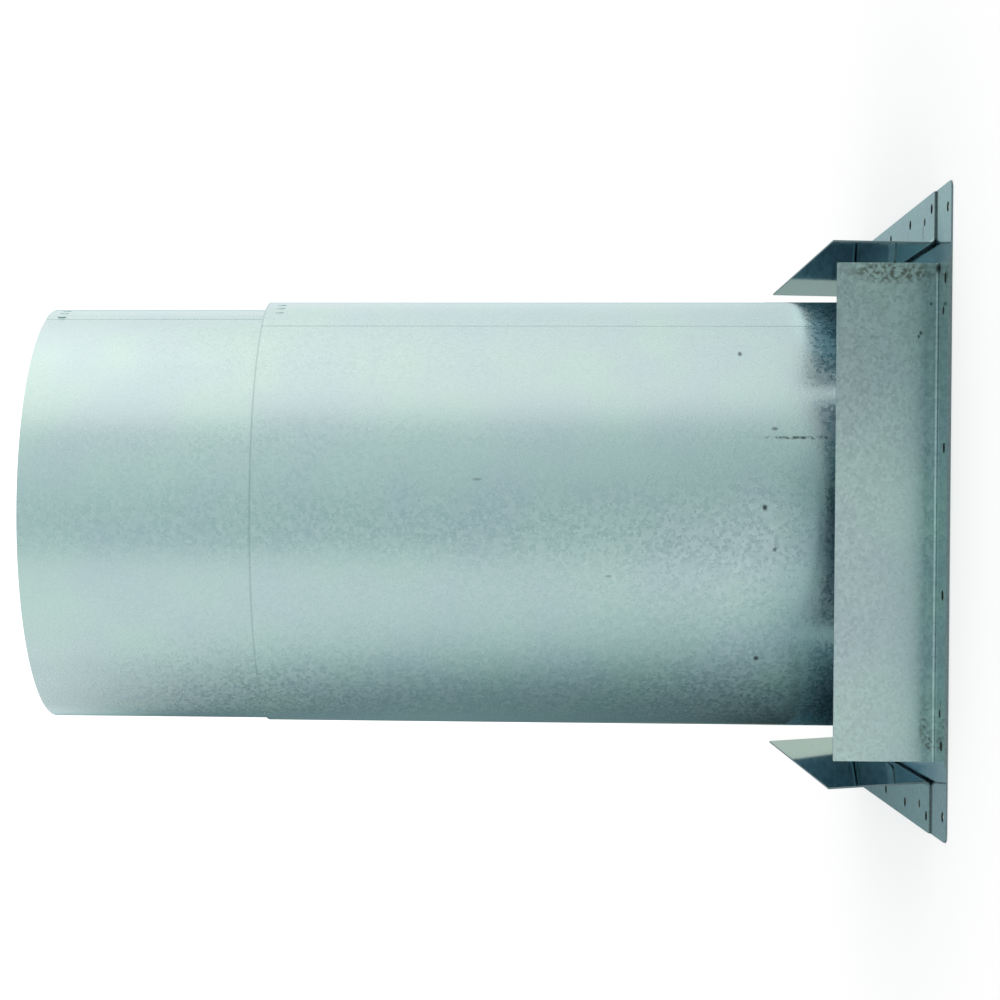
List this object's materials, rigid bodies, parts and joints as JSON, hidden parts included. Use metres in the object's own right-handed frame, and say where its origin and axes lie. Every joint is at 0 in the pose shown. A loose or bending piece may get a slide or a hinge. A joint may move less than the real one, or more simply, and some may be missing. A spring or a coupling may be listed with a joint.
{
  "type": "vent pipe firestop",
  "caption": "Square galvanized plate with bent joist brackets and a telescoping round sleeve that keeps an air space round a vent pipe through a ceiling.",
  "frame": {"origin": "centre of the plate's underside, on the sleeve's axis", "axes": "+Z along the sleeve, away from the plate; X and Y square to the plate's edges"},
  "size_m": [0.3016, 0.3016, 0.4381],
  "materials": {
    "plate_sheet": "galvanized, satin, fine spangle",
    "bracket_sheet": "galvanized, satin, fine spangle",
    "sleeve_sheet": "galvanized, bright satin, fine spangle"
  },
  "bodies": {
    "firestop": {"firestop_plate": "plate_sheet", "bracket_right": "bracket_sheet", "bracket_left": "bracket_sheet", "bracket_front": "bracket_sheet", "bracket_back": "bracket_sheet", "outer_sleeve": "sleeve_sheet"},
    "extension": {"inner_sleeve": "sleeve_sheet"}
  },
  "joints": [
    {"name": "sleeve_slide", "type": "slide", "parent": "firestop", "child": "extension", "axis": [0, 0, 1], "range_m": [-0.105, 0.178]}
  ]
}
